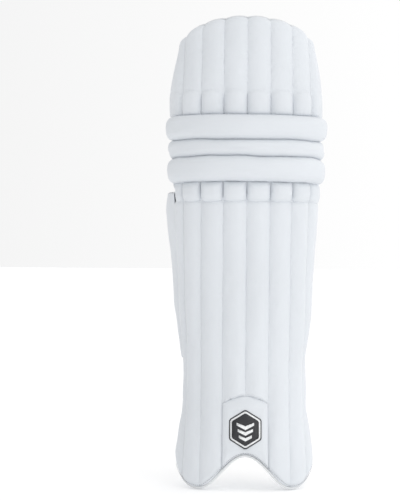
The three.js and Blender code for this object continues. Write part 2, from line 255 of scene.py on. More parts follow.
def grid_faces(rows, cols, start=0, flip=False):
    r, c = np.meshgrid(np.arange(rows - 1), np.arange(cols - 1), indexing="ij")
    a = (start + r * cols + c).ravel()
    quads = np.stack([a, a + 1, a + cols + 1, a + cols], -1)
    return quads[:, ::-1] if flip else quads


def grid_normals(grid):
    across = np.gradient(grid, axis=1)
    up = np.gradient(grid, axis=0)
    normal = np.cross(across, up)
    return normal / np.maximum(np.linalg.norm(normal, axis=-1, keepdims=True), 1e-9)


def sheet(name, grid, thickness, material, flat, front_is_outside=True):
    """A closed sheet of cloth: the grid is its outer face and thickness goes behind it."""
    rows, cols = grid.shape[:2]
    normal = grid_normals(grid)
    if not front_is_outside:
        normal = -normal
    back = grid - normal * thickness
    points = np.concatenate([grid.reshape(-1, 3), back.reshape(-1, 3)])
    count = rows * cols
    faces = [grid_faces(rows, cols, 0, not front_is_outside),
             grid_faces(rows, cols, count, front_is_outside)]
    ring = np.concatenate([
        np.arange(cols), np.arange(1, rows) * cols + cols - 1,
        (rows - 1) * cols + np.arange(cols - 2, -1, -1), np.arange(rows - 2, 0, -1) * cols,
    ])
    following = np.roll(ring, -1)
    rim = np.stack([ring, ring + count, following + count, following], -1)
    faces.append(rim if front_is_outside else rim[:, ::-1])
    both = np.concatenate([flat.reshape(-1, 3), flat.reshape(-1, 3)])
    return link(name, points, np.concatenate(faces), material, both)


def ring_faces(rows, sides, start=0):
    """The quads that join rings of points into a tube."""
    faces = []
    for a in range(start, start + (rows - 1) * sides, sides):
        for c in range(sides):
            d = (c + 1) % sides
            faces.append((a + c, a + d, a + sides + d, a + sides + c))
    return faces


def tube(name, path, radius, sides=10):
    """A round binding with closed ends along a path of points."""
    ahead = np.gradient(path, axis=0)
    ahead /= np.linalg.norm(ahead, axis=1, keepdims=True)
    level = abs(ahead[len(path) // 2][2]) < 0.9
    frame_up = np.array([0.0, 0.0, 1.0]) if level else np.array([0.0, 1.0, 0.0])
    side = np.cross(ahead, frame_up)
    side /= np.linalg.norm(side, axis=1, keepdims=True)
    up = np.cross(side, ahead)
    turn = np.linspace(0, 2 * math.pi, sides, endpoint=False)
    ring = side[:, None] * np.cos(turn)[:, None] + up[:, None] * np.sin(turn)[:, None]
    points = (path[:, None] + ring * radius).reshape(-1, 3)
    rows = len(path)
    faces = ring_faces(rows, sides)
    first = len(points)
    tips = np.stack([path[0] - ahead[0] * radius * 0.6, path[-1] + ahead[-1] * radius * 0.6])
    points = np.concatenate([points, tips])
    for c in range(sides):
        d = (c + 1) % sides
        faces.append((first, d, c))
        faces.append((first + 1, (rows - 1) * sides + c, (rows - 1) * sides + d))
    return link(name, points, faces, BINDING)


def flat_of(arc, z):
    return np.stack(np.broadcast_arrays(arc, z, np.zeros_like(arc)), -1) / 1000


# ---- Materials ----
def darker(tint, share):
    return tuple(share * c for c in tint[:3]) + (1,)


class Nodes:
    """A short way to write a node tree."""

    def __init__(self, name):
        self.material = bpy.data.materials.new(name)
        self.material.use_nodes = True
        self.tree = self.material.node_tree
        self.shader = self.tree.nodes["Principled BSDF"]

    def node(self, kind, **settings):
        made = self.tree.nodes.new(kind)
        for key, value in settings.items():
            setattr(made, key, value)
        return made

    def join(self, source, target):
        self.tree.links.new(source, target)

    def put(self, socket, value):
        if isinstance(value, bpy.types.NodeSocket):
            self.join(value, socket)
        else:
            socket.default_value = value

    def object_place(self):
        return self.node("ShaderNodeTexCoord").outputs["Object"]

    def cloth_place(self):
        return self.node("ShaderNodeAttribute", attribute_name="cloth").outputs["Vector"]

    def noise(self, place, scale, detail=3.0, roughness=0.5):
        made = self.node("ShaderNodeTexNoise")
        self.join(place, made.inputs["Vector"])
        made.inputs["Scale"].default_value = scale
        made.inputs["Detail"].default_value = detail
        made.inputs["Roughness"].default_value = roughness
        return made.outputs["Fac"]

    def voronoi(self, place, scale, feature="F1", output="Distance", randomness=1.0):
        made = self.node("ShaderNodeTexVoronoi", feature=feature)
        self.join(place, made.inputs["Vector"])
        made.inputs["Scale"].default_value = scale
        made.inputs["Randomness"].default_value = randomness
        return made.outputs[output]

    def math(self, operation, a, b=0.0, clamp=False):
        made = self.node("ShaderNodeMath", operation=operation, use_clamp=clamp)
        self.put(made.inputs[0], a)
        self.put(made.inputs[1], b)
        return made.outputs[0]

    def mix(self, factor, a, b):
        made = self.node("ShaderNodeMix", data_type="RGBA")
        self.put(made.inputs["Factor"], factor)
        self.put(made.inputs["A"], a)
        self.put(made.inputs["B"], b)
        return made.outputs["Result"]

    def remap(self, value, low, high, to_low=0.0, to_high=1.0):
        made = self.node("ShaderNodeMapRange")
        self.put(made.inputs["Value"], value)
        for key, number in zip(("From Min", "From Max", "To Min", "To Max"), (low, high, to_low, to_high)):
            made.inputs[key].default_value = number
        return made.outputs["Result"]

    def split(self, place):
        made = self.node("ShaderNodeSeparateXYZ")
        self.join(place, made.inputs[0])
        return made.outputs

    def bump(self, height, strength, distance, under=None):
        made = self.node("ShaderNodeBump")
        made.inputs["Strength"].default_value = strength
        made.inputs["Distance"].default_value = distance
        self.join(height, made.inputs["Height"])
        if under is not None:
            self.join(under, made.inputs["Normal"])
        return made.outputs["Normal"]

    def finish(self, color, roughness, normal=None, **constant):
        self.put(self.shader.inputs["Base Color"], color)
        self.put(self.shader.inputs["Roughness"], roughness)
        if normal is not None:
            self.join(normal, self.shader.inputs["Normal"])
        for key, value in constant.items():
            self.shader.inputs[key.replace("_", " ")].default_value = value
        return self.material


def white_leather(name, tint=(0.715, 0.745, 0.78, 1)):
    """Soft synthetic leather: a fine pebbled grain and faint mottling."""
    n = Nodes(name)
    place = n.object_place()
    mottle = n.noise(place, 9.0, 4.0)
    shade = n.mix(n.remap(mottle, 0.35, 0.7), tint, darker(tint, 0.965))
    cells = n.voronoi(place, 900.0)
    fine = n.noise(place, 1700.0, 2.0)
    grain = n.math("ADD", cells, n.math("MULTIPLY", fine, 0.4))
    creases = n.noise(place, 160.0, 5.0, 0.62)
    soft = n.bump(creases, 0.10, 0.0012)
    normal = n.bump(grain, 0.16, 0.00025, soft)
    roughness = n.remap(n.noise(place, 40.0, 3.0), 0.3, 0.7, 0.40, 0.52)
    return n.finish(shade, roughness, normal, Specular_IOR_Level=0.42, Sheen_Weight=0.05)


def brushed_knit(name, tint=(0.755, 0.76, 0.785, 1), rib=520.0):
    """Brushed white knit: tiny loops in rows, with a soft sheen."""
    n = Nodes(name)
    place = n.object_place()
    loops = n.voronoi(place, rib * 1.6)
    fuzz = n.noise(place, rib * 2.2, 3.0, 0.7)
    broad = n.noise(place, 14.0, 4.0)
    shade = n.mix(n.remap(broad, 0.3, 0.75), tint, darker(tint, 0.955))
    shade = n.mix(n.remap(loops, 0.0, 0.75, 0.0, 0.10), shade, (0.52, 0.54, 0.60, 1))
    soft = n.bump(n.noise(place, 90.0, 4.0), 0.12, 0.002)
    normal = n.bump(n.math("ADD", loops, n.math("MULTIPLY", fuzz, 0.6)), 0.30, 0.0005, soft)
    return n.finish(shade, 0.88, normal, Sheen_Weight=0.35, Sheen_Roughness=0.5, Specular_IOR_Level=0.25)


def simple_cloth(name, tint, rough=0.85, grain=700.0):
    n = Nodes(name)
    place = n.object_place()
    threads = n.voronoi(place, grain)
    shade = n.mix(n.remap(threads, 0.0, 0.8), tint, darker(tint, 0.86))
    return n.finish(shade, rough, n.bump(threads, 0.35, 0.0004), Sheen_Weight=0.2, Specular_IOR_Level=0.3)


def webbing(name, bands):
    """Woven tape: its stripes run along it, from bands of (start, end, colour) in metres across."""
    n = Nodes(name)
    place = n.cloth_place()
    along, across, _ = n.split(place)
    shade = n.mix(0.0, WHITE_TAPE, WHITE_TAPE)
    for start, end, tint in bands:
        inside = n.math("MULTIPLY", n.math("GREATER_THAN", across, start), n.math("LESS_THAN", across, end))
        shade = n.mix(inside, shade, tint)
    ribs = n.math("SINE", n.math("MULTIPLY", along, 2 * math.pi / 0.0011))
    picks = n.math("SINE", n.math("MULTIPLY", across, 2 * math.pi / 0.0008))
    weave = n.math("MULTIPLY", ribs, picks)
    fuzz = n.noise(n.object_place(), 1400.0, 3.0, 0.7)
    height = n.math("ADD", weave, n.math("MULTIPLY", fuzz, 1.2))
    # Painted shade: the low points of the weave are darkened toward near-black.
    shade = n.mix(n.remap(weave, -1.0, 1.0, 0.14, 0.0), shade, (0.10, 0.10, 0.13, 1))
    return n.finish(shade, 0.78, n.bump(height, 0.4, 0.0003), Sheen_Weight=0.15, Specular_IOR_Level=0.3)


def diagonal(n, x, z, point, slope, half):
    """A stripe through a point at a slope, with a half width, all in metres."""
    run = n.math("SUBTRACT", x, point[0])
    rise = n.math("SUBTRACT", z, point[1])
    across = n.math("SUBTRACT", rise, n.math("MULTIPLY", run, slope))
    limit = half * math.sqrt(1 + slope * slope)
    return n.math("LESS_THAN", n.math("ABSOLUTE", across), limit)


WHITE_TAPE = (0.80, 0.815, 0.83, 1)
YELLOW = (0.80, 0.47, 0.02, 1)
LIME = (0.58, 0.80, 0.10, 1)
NAVY = (0.052, 0.052, 0.088, 1)
DEEP_NAVY = (0.030, 0.030, 0.085, 1)


def printed_navy(name, stripes, scales):
    """Navy twill with an embossed brick pattern inside scales, and diagonal stripes."""
    n = Nodes(name)
    place = n.cloth_place()
    x, z, _ = n.split(place)
    twill = n.math("SINE", n.math("MULTIPLY", n.math("ADD", x, z), 2 * math.pi / 0.0016))
    hexes = n.voronoi(place, 62.0, "DISTANCE_TO_EDGE", randomness=0.0)
    bricks = n.voronoi(place, 92.0, "DISTANCE_TO_EDGE", randomness=0.55)
    groove = n.remap(bricks, 0.03, 0.13)
    faint = n.remap(hexes, 0.01, 0.06)
    where = scales(n, x, z)
    mottle = n.noise(place, 120.0, 4.0)
    shade = n.mix(n.remap(mottle, 0.3, 0.7), NAVY, darker(NAVY, 0.72))
    dark = n.mix(groove, (0.021, 0.021, 0.034, 1), shade)
    shade = n.mix(where, shade, dark)
    for point, slope, half, tint in stripes:
        shade = n.mix(diagonal(n, x, z, point, slope, half), shade, tint)
    relief = n.math("MULTIPLY", where, groove)
    relief = n.math("ADD", relief, n.math("MULTIPLY", faint, 0.25))
    under = n.bump(relief, 0.7, 0.0012)
    normal = n.bump(twill, 0.35, 0.0002, under)
    return n.finish(shade, 0.62, normal, Sheen_Weight=0.25, Specular_IOR_Level=0.35)


def split_cane(name):
    n = Nodes(name)
    place = n.object_place()
    grain = n.noise(place, 260.0, 5.0, 0.6)
    shade = n.mix(n.remap(grain, 0.3, 0.7), (0.58, 0.40, 0.19, 1), (0.40, 0.25, 0.10, 1))
    return n.finish(shade, 0.55, n.bump(grain, 0.3, 0.0006))


def raw_foam(name):
    n = Nodes(name)
    place = n.object_place()
    cells = n.voronoi(place, 1100.0)
    shade = n.mix(n.remap(cells, 0.0, 0.7), (0.74, 0.70, 0.60, 1), (0.60, 0.56, 0.46, 1))
    return n.finish(shade, 0.95, n.bump(cells, 0.5, 0.0006))


def enamel(name, tint, rough=0.32):
    n = Nodes(name)
    place = n.object_place()
    wear = n.noise(place, 320.0, 4.0)
    worn = tuple(min(1.0, 1.25 * c + 0.004) for c in tint[:3]) + (1,)
    shade = n.mix(n.remap(wear, 0.35, 0.75), tint, worn)
    return n.finish(shade, n.remap(wear, 0.3, 0.7, rough, rough + 0.12), n.bump(wear, 0.08, 0.0004))


LEATHER = white_leather("white_leather")
KNIT = brushed_knit("brushed_knit")
# Painted shade: the mesh is white, and this grey tint stands for the shade inside the wing and beside the
# side wall.
SHADE_PAINTED_MESH = simple_cloth("shade_painted_mesh", (0.65, 0.66, 0.69, 1))
BINDING = simple_cloth("white_binding", WHITE_TAPE, 0.7, 1100.0)
THREAD = simple_cloth("white_thread", (0.78, 0.79, 0.80, 1), 0.6, 3000.0)
GREY_THREAD = simple_cloth("grey_thread", (0.42, 0.43, 0.46, 1), 0.6, 3000.0)
LOOPS = simple_cloth("loop_tape", (0.60, 0.615, 0.64, 1), 0.95, 900.0)
HOOKS = simple_cloth("hook_tape", (0.50, 0.51, 0.53, 1), 0.75, 1300.0)
CANE = split_cane("split_cane")
FOAM = raw_foam("raw_foam")
BLACK = enamel("badge_black", (0.018, 0.018, 0.022, 1))
SILVER = enamel("badge_white", (0.78, 0.79, 0.80, 1), 0.38)
GOLD = enamel("badge_yellow", (0.72, 0.58, 0.10, 1), 0.4)


# ---- Cloth simulation ----
CLOTH_FRAMES = 20
CLOTH_STIFFNESS = 15.0


def simulate(obj, pressure, cap, pinned, growth):
    """Blows a mesh up as cloth; no point moves further than cap, in metres. Returns its points."""
    mesh = obj.data
    start = np.empty(len(mesh.vertices) * 3)
    mesh.vertices.foreach_get("co", start)
    start = start.reshape(-1, 3)
    cloth = obj.modifiers.new("cloth", "CLOTH")
    settings = cloth.settings
    settings.quality = 5
    settings.mass = 0.3
    settings.tension_stiffness = CLOTH_STIFFNESS
    settings.compression_stiffness = CLOTH_STIFFNESS
    settings.shear_stiffness = CLOTH_STIFFNESS / 3
    settings.bending_stiffness = 0.4
    settings.air_damping = 4
    settings.use_pressure = True
    settings.uniform_pressure_force = pressure
    settings.shrink_min = -growth
    settings.effector_weights.gravity = 0
    cloth.collision_settings.use_collision = False
    group = obj.vertex_groups.new(name="pin")
    group.add([int(i) for i in np.nonzero(pinned)[0]], 1.0, "REPLACE")
    settings.vertex_group_mass = "pin"
    cloth.point_cache.frame_end = CLOTH_FRAMES
    scene = bpy.context.scene
    for index in range(1, CLOTH_FRAMES + 1):
        scene.frame_set(index)
    evaluated = obj.evaluated_get(bpy.context.evaluated_depsgraph_get())
    end = np.empty_like(start).ravel()
    evaluated.data.vertices.foreach_get("co", end)
    move = end.reshape(-1, 3) - start
    obj.modifiers.remove(cloth)
    scene.frame_set(1)
    length = np.linalg.norm(move, axis=1, keepdims=True)
    return start + move * np.minimum(1.0, cap / np.maximum(length, 1e-9))


def relax_sheet(grid, pinned, pressure, cap, growth):
    """Lets an open grid of cloth settle under pressure with some of its points pinned."""
    rows, cols = grid.shape[:2]
    obj = link("settling", grid.reshape(-1, 3), grid_faces(rows, cols), LEATHER)
    points = simulate(obj, pressure, cap / 1000, pinned.ravel(), growth)
    mesh = obj.data
    bpy.data.objects.remove(obj)
    bpy.data.meshes.remove(mesh)
    moved = points.reshape(rows, cols, 3) * 1000 + np.array([0, 0, BED_HEIGHT]) - grid
    kernel = np.exp(-0.5 * (np.arange(-9, 10) / 3.5) ** 2)
    kernel /= kernel.sum()
    padded = np.pad(moved, ((9, 9), (0, 0), (0, 0)), mode="edge")
    long_folds = sum(weight * padded[k:k + rows] for k, weight in enumerate(kernel))
    return grid + 0.75 * long_folds + 0.25 * moved


def stitches(name, path, body, spacing=4.2, length=2.6, radius=0.38, material=THREAD):
    """A run of sewn stitches lying along a path of points."""
    path = np.asarray(path, float)
    step = np.linalg.norm(np.diff(path, axis=0), axis=1)
    travel = np.concatenate([[0], np.cumsum(step)])
    verts, faces = [], []
    for start in np.arange(spacing / 2, travel[-1] - length, spacing):
        at = [np.array([np.interp(start + length * share, travel, path[:, k]) for k in range(3)])
              for share in (0, 0.5, 1)]
        ahead = at[2] - at[0]
        ahead /= max(np.linalg.norm(ahead), 1e-9)
        side = np.cross(ahead, [0.0, 1.0, 0.13])
        side /= np.linalg.norm(side)
        up = np.cross(side, ahead)
        base = len(verts)
        for k, centre in enumerate(at):
            for c in range(6):
                angle = math.pi * 2 * c / 6
                r = radius * (1.0 if k == 1 else 0.75)
                verts.append(centre + r * (side * math.cos(angle) + up * math.sin(angle)))
        faces += ring_faces(3, 6, base)
        faces.append(tuple(base + c for c in range(5, -1, -1)))
        faces.append(tuple(base + 12 + c for c in range(6)))
    obj = link(name, verts, faces, material)
    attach(obj, body)


# ---- Relief of the stuffed channels ----
EDGE_RADIUS = 11.2
FOAM_FRONT = 16.7
FOAM_MIDDLE, FOAM_SIDE, FOAM_HEM = 13, 1.8, 3
SEAM_LEVEL = -2.2
CHANNEL_COLUMNS = 18
SIDE_COLUMNS = 36


def seam_distance(arc):
    nearest = np.clip(np.round(arc / CHANNEL), -3, 3) * CHANNEL
    return np.abs(arc - nearest), nearest


def flutes(arc, crown):
    """Height of the stuffed channels over the shell, low and sharp at each seam."""
    distance = seam_distance(arc)[0]
    t = np.clip(distance / (CHANNEL / 2), 0, 1)
    swell = (1 - (1 - t) ** 2) ** 0.8
    return SEAM_LEVEL + (crown - SEAM_LEVEL) * swell


def puckers(arc, z, seed, strength=0.55):
    """Small folds that run out from the stitching of each seam."""
    distance, nearest = seam_distance(arc)
    near = np.exp(-distance / 6.0) * (1 - np.exp(-distance / 1.2))
    return strength * near * ripple(distance * 0.25 + nearest, z, 11.0, seed)


def column_arcs(left, right, wrap):
    """Arc lengths of the columns of a grid: some fall on each seam, and the rest reach the edges."""
    t = np.linspace(0, 1, CHANNEL_COLUMNS + 1)[:-1]
    t = 0.5 - 0.5 * np.sign(np.cos(math.pi * t)) * np.abs(np.cos(math.pi * t)) ** 0.8
    inner = np.concatenate([(k + t) * CHANNEL for k in range(-3, 3)] + [[3 * CHANNEL]])
    side = np.linspace(0, 1, SIDE_COLUMNS + 1)[1:]
    outer_right = 3 * CHANNEL + side * (right + wrap - 3 * CHANNEL)
    outer_left = -3 * CHANNEL + side[::-1] * (left - wrap + 3 * CHANNEL)
    middle = np.broadcast_to(inner, left.shape[:-1] + inner.shape)
    return np.concatenate([outer_left, middle, outer_right], -1)


def side_wrapped(z, wrap):
    """Arc lengths for a cover whose side columns run on round each edge, at each column's height."""
    left = soft_edges(z[:, :SIDE_COLUMNS])[0]
    right = soft_edges(z[:, -SIDE_COLUMNS:])[1]
    return column_arcs(left, right, wrap)


def foam_rear(arc, z):
    """The depth of the rear of the foam: thick in the middle, thin at the sides and at the hem."""
    fade = smooth(np.abs(arc), 50, 105)
    full = FOAM_MIDDLE + (FOAM_SIDE - FOAM_MIDDLE) * fade
    rise = smooth(z - bottom_edge(arc), 0, 90)
    thin = np.minimum(full, FOAM_HEM)
    return FOAM_FRONT + thin + (full - thin) * rise


def lining_depth(arc, z):
    return foam_rear(arc, z) + 4


# ---- Shin ----

def instep_line(arc):
    return INSTEP_TOP - INSTEP_DROP * (arc / CHANNEL) ** 2


def make_shin_cover():
    rows, hem_rows = 150, 14
    v = np.linspace(0, 1, rows)[:, None]
    foot_left, foot_right = soft_edges(np.full((1, 1), 24.0))
    guess = column_arcs(foot_left, foot_right, math.pi * EDGE_RADIUS + 8)[0]
    low = bottom_edge(np.clip(guess, foot_left[0], foot_right[0])) + EDGE_RADIUS
    z = low + v * (KNUCKLE_BOTTOM + 4 - low)
    arc = side_wrapped(z, math.pi * EDGE_RADIUS + 8)
    left, right = soft_edges(z)
    inner = np.clip(arc, left, right)
    beyond = np.abs(arc) > np.abs(inner) + 0.01
    foot = smooth(z, 60, 200)
    crown = 2.4 + 0.8 * foot
    side_fade = 1 - 0.8 * smooth(np.abs(inner), 108, 135)
    lift = flutes(inner, crown) * side_fade + 0.4 * ripple(inner, z * 0.35, 42.0, 5)
    lift = lift - 3.4 * smooth(z, KNUCKLE_BOTTOM - 6, KNUCKLE_BOTTOM + 4)
    under_panel = (np.abs(inner) < CHANNEL + 0.5) & (z < instep_line(inner) + 1)
    lift = np.where(under_panel, -2.8, lift)
    face = skin(arc, z, lift, EDGE_RADIUS, left, right)
    pinned = beyond | under_panel | (v < 0.012) | (v > 0.992) | (seam_distance(inner)[0] < 0.4)
    face = relax_sheet(face, pinned, pressure=3.0, cap=3.5, growth=0.006)
    face[..., 1] -= (puckers(inner, z, 3, 0.5) * ~beyond * (v > 0.03)) * 0.8
    hem = []
    for k in range(hem_rows, 0, -1):
        hem.append(closed_edge(arc[0], low, EDGE_RADIUS, lift[0], k / hem_rows, left[0], right[0], -1.0))
    grid = np.concatenate([np.array(hem), face])
    flat = flat_of(np.concatenate([np.repeat(arc[:1], hem_rows, 0), arc]),
                   np.concatenate([np.repeat(z[:1], hem_rows, 0), z]))
    cover = sheet("shin_cover", grid, 1.2, LEATHER, flat)
    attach(cover, "shin")
    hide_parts("shin_facing")


def make_hem_binding():
    """A bound edge that runs round the hem of the foot, with a row of stitches above it."""
    a = np.linspace(-127, 127, 420)
    low = bottom_edge(a)
    path = skin(a, low + 0.4, -4.6)
    binding = tube("hem_binding", path, 1.9)
    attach(binding, "shin")
    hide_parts("foot_piping")
    slope = np.gradient(low, a)
    stitches("hem_stitches", skin(a, low + 4.6 + 0.6 * np.abs(slope), 0.2), "shin", spacing=3.6, length=2.4,
             radius=0.32, material=GREY_THREAD)


def make_instep_panel():
    cols, rows = 60, 70
    u = np.linspace(-1, 1, cols)
    arc = u * (CHANNEL - 0.6) * np.ones((rows, 1))
    low = bottom_edge(arc[0]) + 3.5
    v = np.linspace(0, 1, rows)[:, None]
    z = low + v * (instep_line(arc[0]) - low)
    border = np.minimum(1 - np.abs(u), np.minimum(v * 1.6, (1 - v) * 1.6)) * CHANNEL
    lift = SEAM_LEVEL + 4.6 * np.clip(border / 9, 0, 1) ** 0.5 + 0.3 * ripple(arc, z, 26.0, 21)
    grid = skin(arc, z, lift)
    panel = sheet("instep_cover", grid, 1.0, LEATHER, flat_of(arc, z))
    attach(panel, "shin")
    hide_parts("instep_panel")


def make_knuckles():
    rows = 36
    low, high = KNUCKLE_BOTTOM - 3, KNEE_BOTTOM + 1
    v = np.linspace(0, 1, rows)[:, None]
    z = low + v * (high - low)
    left, right = soft_edges(z)
    arc = column_arcs(left, right, 0.0)
    distance = seam_distance(arc)[0]
    across = (1 - (1 - np.clip(distance / (CHANNEL / 2), 0, 1)) ** 2.6) ** 0.55
    z = z + 6.5 * (1 - v) * (1 - across)
    up = (1 - np.abs(2 * v - 1) ** 2.6) ** 0.6
    side = 1 - 0.45 * smooth(np.abs(arc), 60, 140)
    rounded_end = np.sqrt(np.clip((np.abs(np.where(arc < 0, left, right)) - np.abs(arc)) / 14, 0, 1))
    lift = -3 + (13.0 * side * across * up + puckers(arc, z, 8, 0.8)) * rounded_end
    grid = skin(arc, z, lift)
    row = sheet("knuckle_cover", grid, 1.2, LEATHER, flat_of(arc, z))
    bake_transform(row)
    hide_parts("knuckle_row")


def make_shin_lining():
    cols, rows = 110, 130
    u = np.linspace(-1, 1, cols)
    v = np.linspace(0, 1, rows)[:, None]
    guess = u * soft_edges(24.0)[1]
    low = bottom_edge(guess) + 8
    z = low + v * (KNEE_BOTTOM - 3 - low)
    left, right = soft_edges(z)
    arc = np.where(u < 0, -u * left, u * right)
    border = np.minimum(np.minimum((1 - np.abs(u)) * 130, v * 400), (1 - v) * 400)
    lift = -lining_depth(arc, z) - 1.3 + 1.6 * (1 - np.clip(border / 7, 0, 1)) ** 2
    lift = lift + 0.5 * ripple(arc, z, 46.0, 61)
    for seam in SEAMS:
        lift = lift + 1.7 * np.exp(-((arc - seam) / 1.9) ** 2)
    grid = skin(arc, z, lift)
    lining = sheet("shin_lining_cover", grid, 1.0, LEATHER, flat_of(arc, z), front_is_outside=False)
    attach(lining, "shin")
    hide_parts("shin_lining")


def make_centre_panel():
    cols, rows = 64, 150
    half, low, high = 47.0, 161.0, 441.0
    u = np.linspace(-1, 1, cols)
    v = np.linspace(0, 1, rows)[:, None]
    arc = half * u + 0 * v
    z = low + v * (high - low) + 0 * u
    under = skin(arc, z, -lining_depth(arc, z) - 1.5)
    rim = np.minimum((1 - np.abs(u)) * half, np.minimum(v, 1 - v) * (high - low))
    shape = 1 - (1 - np.clip(rim / 9, 0, 1)) ** 2.4
    rear = -0.6 + 0.8 * (1 - u ** 2) + 0.25 * ripple(arc, z, 30.0, 71)
    grid = under.copy()
    grid[..., 1] = under[..., 1] + (rear - under[..., 1]) * shape
    panel = sheet("centre_cover", grid, 1.0, PANEL_PRINT, flat_of(arc, z), front_is_outside=False)
    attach(panel, "shin")
    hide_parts("centre_panel")


def make_bolster(name, node, body, arcs, heights, crown, under_depth):
    """A stuffed cushion sewn down all round: it stands on the surface at under_depth."""
    cols, rows = 70, 150
    u = np.linspace(0, 1, cols)
    v = np.linspace(0, 1, rows)[:, None]
    arc = arcs[0] + (arcs[1] - arcs[0]) * u + 0 * v
    z = heights[0] + v * (heights[1] - heights[0]) + 0 * u
    under = skin(arc, z, -under_depth(arc, z))
    rim = np.minimum(np.minimum(u, 1 - u) * (arcs[1] - arcs[0]),
                     np.minimum(v, 1 - v) * (heights[1] - heights[0]))
    shape = (1 - (1 - np.clip(rim / 19, 0, 1)) ** 2.6) ** 0.9
    target = np.maximum(crown, under[..., 1] + 4)
    grid = under.copy()
    grid[..., 1] = under[..., 1] + (target + 0.7 * ripple(arc, z, 48.0, 73) - under[..., 1]) * shape
    grid = relax_sheet(grid, rim < 1.0, pressure=-3.0, cap=3.0, growth=0.008)
    bolster = sheet(name, grid, 1.2, KNIT, flat_of(arc, z), front_is_outside=False)
    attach(bolster, body)
    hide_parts(node)


# ---- Knee ----
def wavy(level, droop, height, seed):
    """A sewn line across the knee: its height at each arc length."""
    return lambda arc: (level - droop * (np.abs(arc) / RIM_ARC) ** 4
                        + height * ripple(arc, 0 * arc, 70.0, seed, 6))


def make_roll(name, node, low, high, proud, reach, seed):
    """A stuffed roll round the front of the knee: flat at the rear and full at the front."""
    steps, sides = 220, 44
    s = np.linspace(-1, 1, steps)[:, None]
    end = np.sqrt(np.clip(1 - np.abs(s) ** 14, 0, 1)) ** 0.8
    turn = np.linspace(0, 2 * math.pi, sides, endpoint=False)
    middle = (low(s * reach) + high(s * reach)) / 2
    half = (high(s * reach) - low(s * reach)) / 2 + 0.9
    thin = 1 - 0.36 * s ** 2 - 0.3 * smooth(np.abs(s), 0.86, 1.0)
    c, d = np.cos(turn), np.sin(turn)
    round_up = np.sign(d) * np.abs(d) ** 0.72
    outward = np.where(c > 0, proud * thin * np.abs(c) ** 0.8, 9.0 * c)
    arc = s * reach + 0 * turn
    soft = 0.8 * ripple(arc, turn * 12, 60.0, seed)
    soft = soft + 0.55 * np.abs(d) ** 3 * ripple(arc, turn * 3, 15.0, seed + 1)
    z = middle + half * round_up * (0.35 + 0.65 * end)
    lift = outward * end + soft * end
    points = skin(arc, z, lift)
    faces = ring_faces(steps, sides)
    faces.append(tuple(range(sides - 1, -1, -1)))
    faces.append(tuple((steps - 1) * sides + k for k in range(sides)))
    roll = link(name, points.reshape(-1, 3), faces, LEATHER, flat_of(arc, z).reshape(-1, 3))
    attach(roll, "knee")
    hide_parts(node)


def make_knee_cover():
    cols, rows = 150, 40
    u = np.linspace(-1, 1, cols)
    v = np.linspace(0, 1, rows)[:, None]
    low = KNUCKLE_BOTTOM - 9
    z = low + v * (KNEE_TOP + 4 - low) + 0 * u
    left, right = soft_edges(z)
    wrap = math.pi * EDGE_RADIUS + 26
    arc = np.where(u < 0, -u * (left - wrap), u * (right + wrap))
    lift = -1.6 - 2.6 * smooth(1 - v, 0.86, 1.0) - 2.0 * smooth(v, 0.93, 1.0)
    grid = skin(arc, z, lift + 0.5 * ripple(arc, z, 34.0, 31), EDGE_RADIUS, left, right)
    cover = sheet("knee_cover", grid, 1.2, LEATHER, flat_of(arc, z))
    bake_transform(cover)
    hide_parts("knee_foam")


# ---- Top ----
TOP_RADIUS = 10.5


def scallop(arc):
    """The rim runs nearly straight from seam to seam, with a shallow corner at each seam."""
    distance = seam_distance(arc)[0]
    return -2.0 * (1 - np.clip(distance / (CHANNEL / 2), 0, 1)) ** 2


def rim_height(arc):
    return top_edge(arc) + scallop(arc)


def make_top_cover():
    rows, rim_rows = 96, 14
    v = np.linspace(0, 1, rows)[:, None]
    guess = column_arcs(np.full((1, 1), -RIM_ARC), np.full((1, 1), RIM_ARC), 0)[0]
    plain = np.clip(guess, -RIM_ARC, RIM_ARC)
    low = np.full(plain.shape, KNEE_TOP - 2.0)
    high = rim_height(plain) - TOP_RADIUS
    z = low + v * (high - low)
    arc = side_wrapped(z, math.pi * TOP_RADIUS + 2)
    left, right = soft_edges(z)
    inner = np.clip(arc, left, right)
    beyond = np.abs(arc) > np.abs(inner) + 0.01
    across = np.clip(seam_distance(inner)[0] / (CHANNEL / 2), 0, 1)
    step = 583 + 7 * (1 - (1 - across) ** 2.4)
    row = np.clip((z - low) / (step - low), 0, 1)
    bulge = (1 - np.abs(2 * row - 1) ** 3) ** 0.6 * (1 - smooth(z, step - 2, step + 1.5))
    fade = 1 - 0.85 * smooth(np.abs(inner), 104, 138)
    lift = flutes(inner, 2.6) * fade + 5.0 * fade * bulge * (1 - (1 - across) ** 2.2) ** 0.6
    lift = lift + 0.5 * ripple(inner, z * 0.4, 40.0, 43) - 5.0 * (1 - smooth(v, -0.01, 0.05))
    lift = lift * (1 - np.clip((np.abs(arc) - np.abs(inner)) / (TOP_RADIUS * 1.4), 0, 1))
    face = skin(arc, z, lift, TOP_RADIUS, left, right)
    pinned = beyond | (v < 0.012) | (v > 0.985) | (seam_distance(inner)[0] < 0.4) | (np.abs(z - step) < 0.9)
    face = relax_sheet(face, pinned, pressure=3.0, cap=3.5, growth=0.006)
    face[..., 1] -= (puckers(inner, z, 41, 0.8) * ~beyond * (v < 0.97)) * 0.8
    rim = []
    for k in range(1, rim_rows + 1):
        rim.append(closed_edge(arc[-1], high, TOP_RADIUS, lift[-1], k / rim_rows, left[-1], right[-1], 1.0))
    grid = np.concatenate([face, np.array(rim)])
    flat = flat_of(np.concatenate([arc, np.repeat(arc[-1:], rim_rows, 0)]),
                   np.concatenate([z, np.repeat(z[-1:], rim_rows, 0)]))
    cover = sheet("top_cover", grid, 1.2, LEATHER, flat)
    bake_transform(cover)
    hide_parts("top_facing")


SHOULDER = 655.0
SIDE_TURN = 1.35
CREST_TURN = TOP_RADIUS * math.pi / 2


